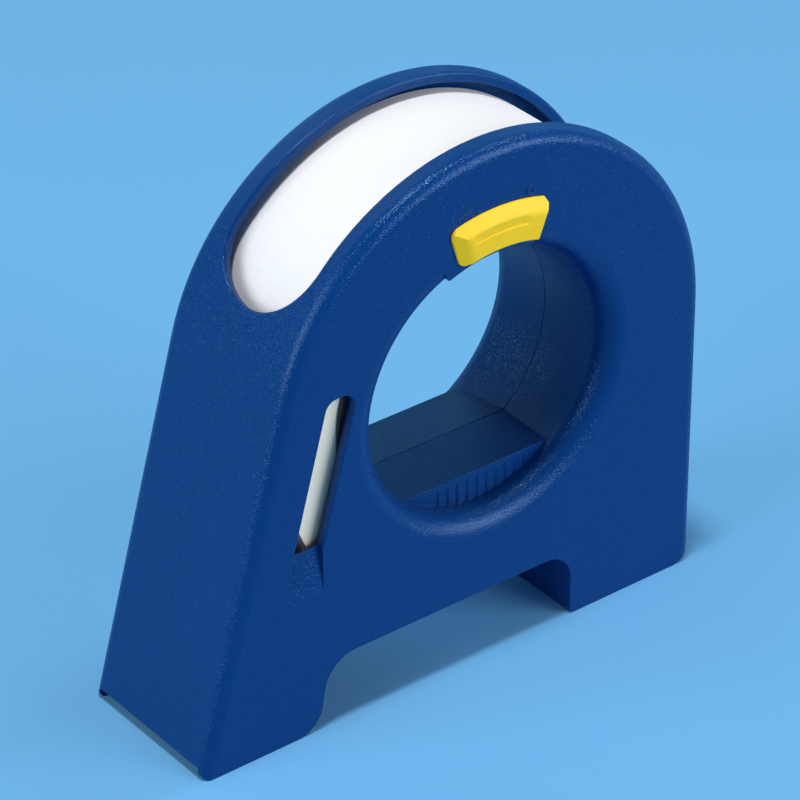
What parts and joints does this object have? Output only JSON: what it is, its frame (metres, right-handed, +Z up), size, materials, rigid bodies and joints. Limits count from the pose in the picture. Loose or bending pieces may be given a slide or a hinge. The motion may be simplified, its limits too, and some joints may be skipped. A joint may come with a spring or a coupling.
{
  "type": "masking tape dispenser",
  "caption": "Hand dispenser for masking tape: hollow split housing with a round hand hole, roll on a hub, press roller and toothed cutter in the front foot, arc-shaped cover latch.",
  "frame": {"origin": "middle of the overall length and depth, on the surface the feet stand on", "axes": "+X from the front foot with the cutter toward the rear foot, +Y from the latch side toward the far side, +Z up"},
  "size_m": [0.1436, 0.045, 0.133],
  "materials": {
    "housing": "fine spark-eroded texture, soft sheen",
    "latch": "satin",
    "hub": "plain moulded",
    "cardboard": "wound grey-brown board",
    "tape": "crepe paper, smooth wound sides",
    "felt": "pressed felt",
    "inner_plastic": "natural moulded",
    "soft_rubber": "ground rubber",
    "steel": "turned",
    "spring_steel": "blued strip",
    "zinc_sheet": "bright zinc-plated sheet",
    "blade_steel": "ground strip"
  },
  "bodies": {
    "housing": {"main_shell": "housing", "roll_drag_pad": "felt", "tape_strand": "tape", "foot_bracket": "zinc_sheet", "bracket_screws": "steel", "press_roller_axle": "steel", "guide_roller_axle": "steel", "cutter_blade": "blade_steel", "blade_holder": "hub", "blade_screws": "steel"},
    "cover": {"cover_shell": "housing"},
    "latch": {"latch_slider": "latch", "latch_retainer": "spring_steel", "latch_rivets": "steel"},
    "roll": {"roll_hub": "hub", "tape_core": "cardboard", "tape_roll": "tape"},
    "press_roller": {"press_roller_core": "inner_plastic", "press_roller_sleeve": "soft_rubber"},
    "guide_roller": {"guide_roller": "inner_plastic"}
  },
  "joints": [
    {"name": "cover_slide", "type": "slide", "parent": "housing", "child": "cover", "axis": [0, -1, 0], "range_m": [0, 0.045]},
    {"name": "latch_slide", "type": "hinge", "parent": "cover", "child": "latch", "pos_m": [0.01082, 0, 0.072], "axis": [0, -1, 0], "range_deg": [0, 4]},
    {"name": "roll_spin", "type": "hinge", "parent": "housing", "child": "roll", "pos_m": [0.01082, 0, 0.072], "axis": [0, 1, 0], "continuous": true},
    {"name": "press_roller_spin", "type": "hinge", "parent": "housing", "child": "press_roller", "pos_m": [-0.05574, 0, 0.0069], "axis": [0, 1, 0], "continuous": true},
    {"name": "guide_roller_spin", "type": "hinge", "parent": "housing", "child": "guide_roller", "pos_m": [-0.045, 0, 0.022], "axis": [0, 1, 0], "continuous": true}
  ],
  "couplings": [
    {"joint": "press_roller_spin", "follows": "roll_spin", "ratio": -9.3333},
    {"joint": "guide_roller_spin", "follows": "roll_spin", "ratio": 18.667}
  ]
}
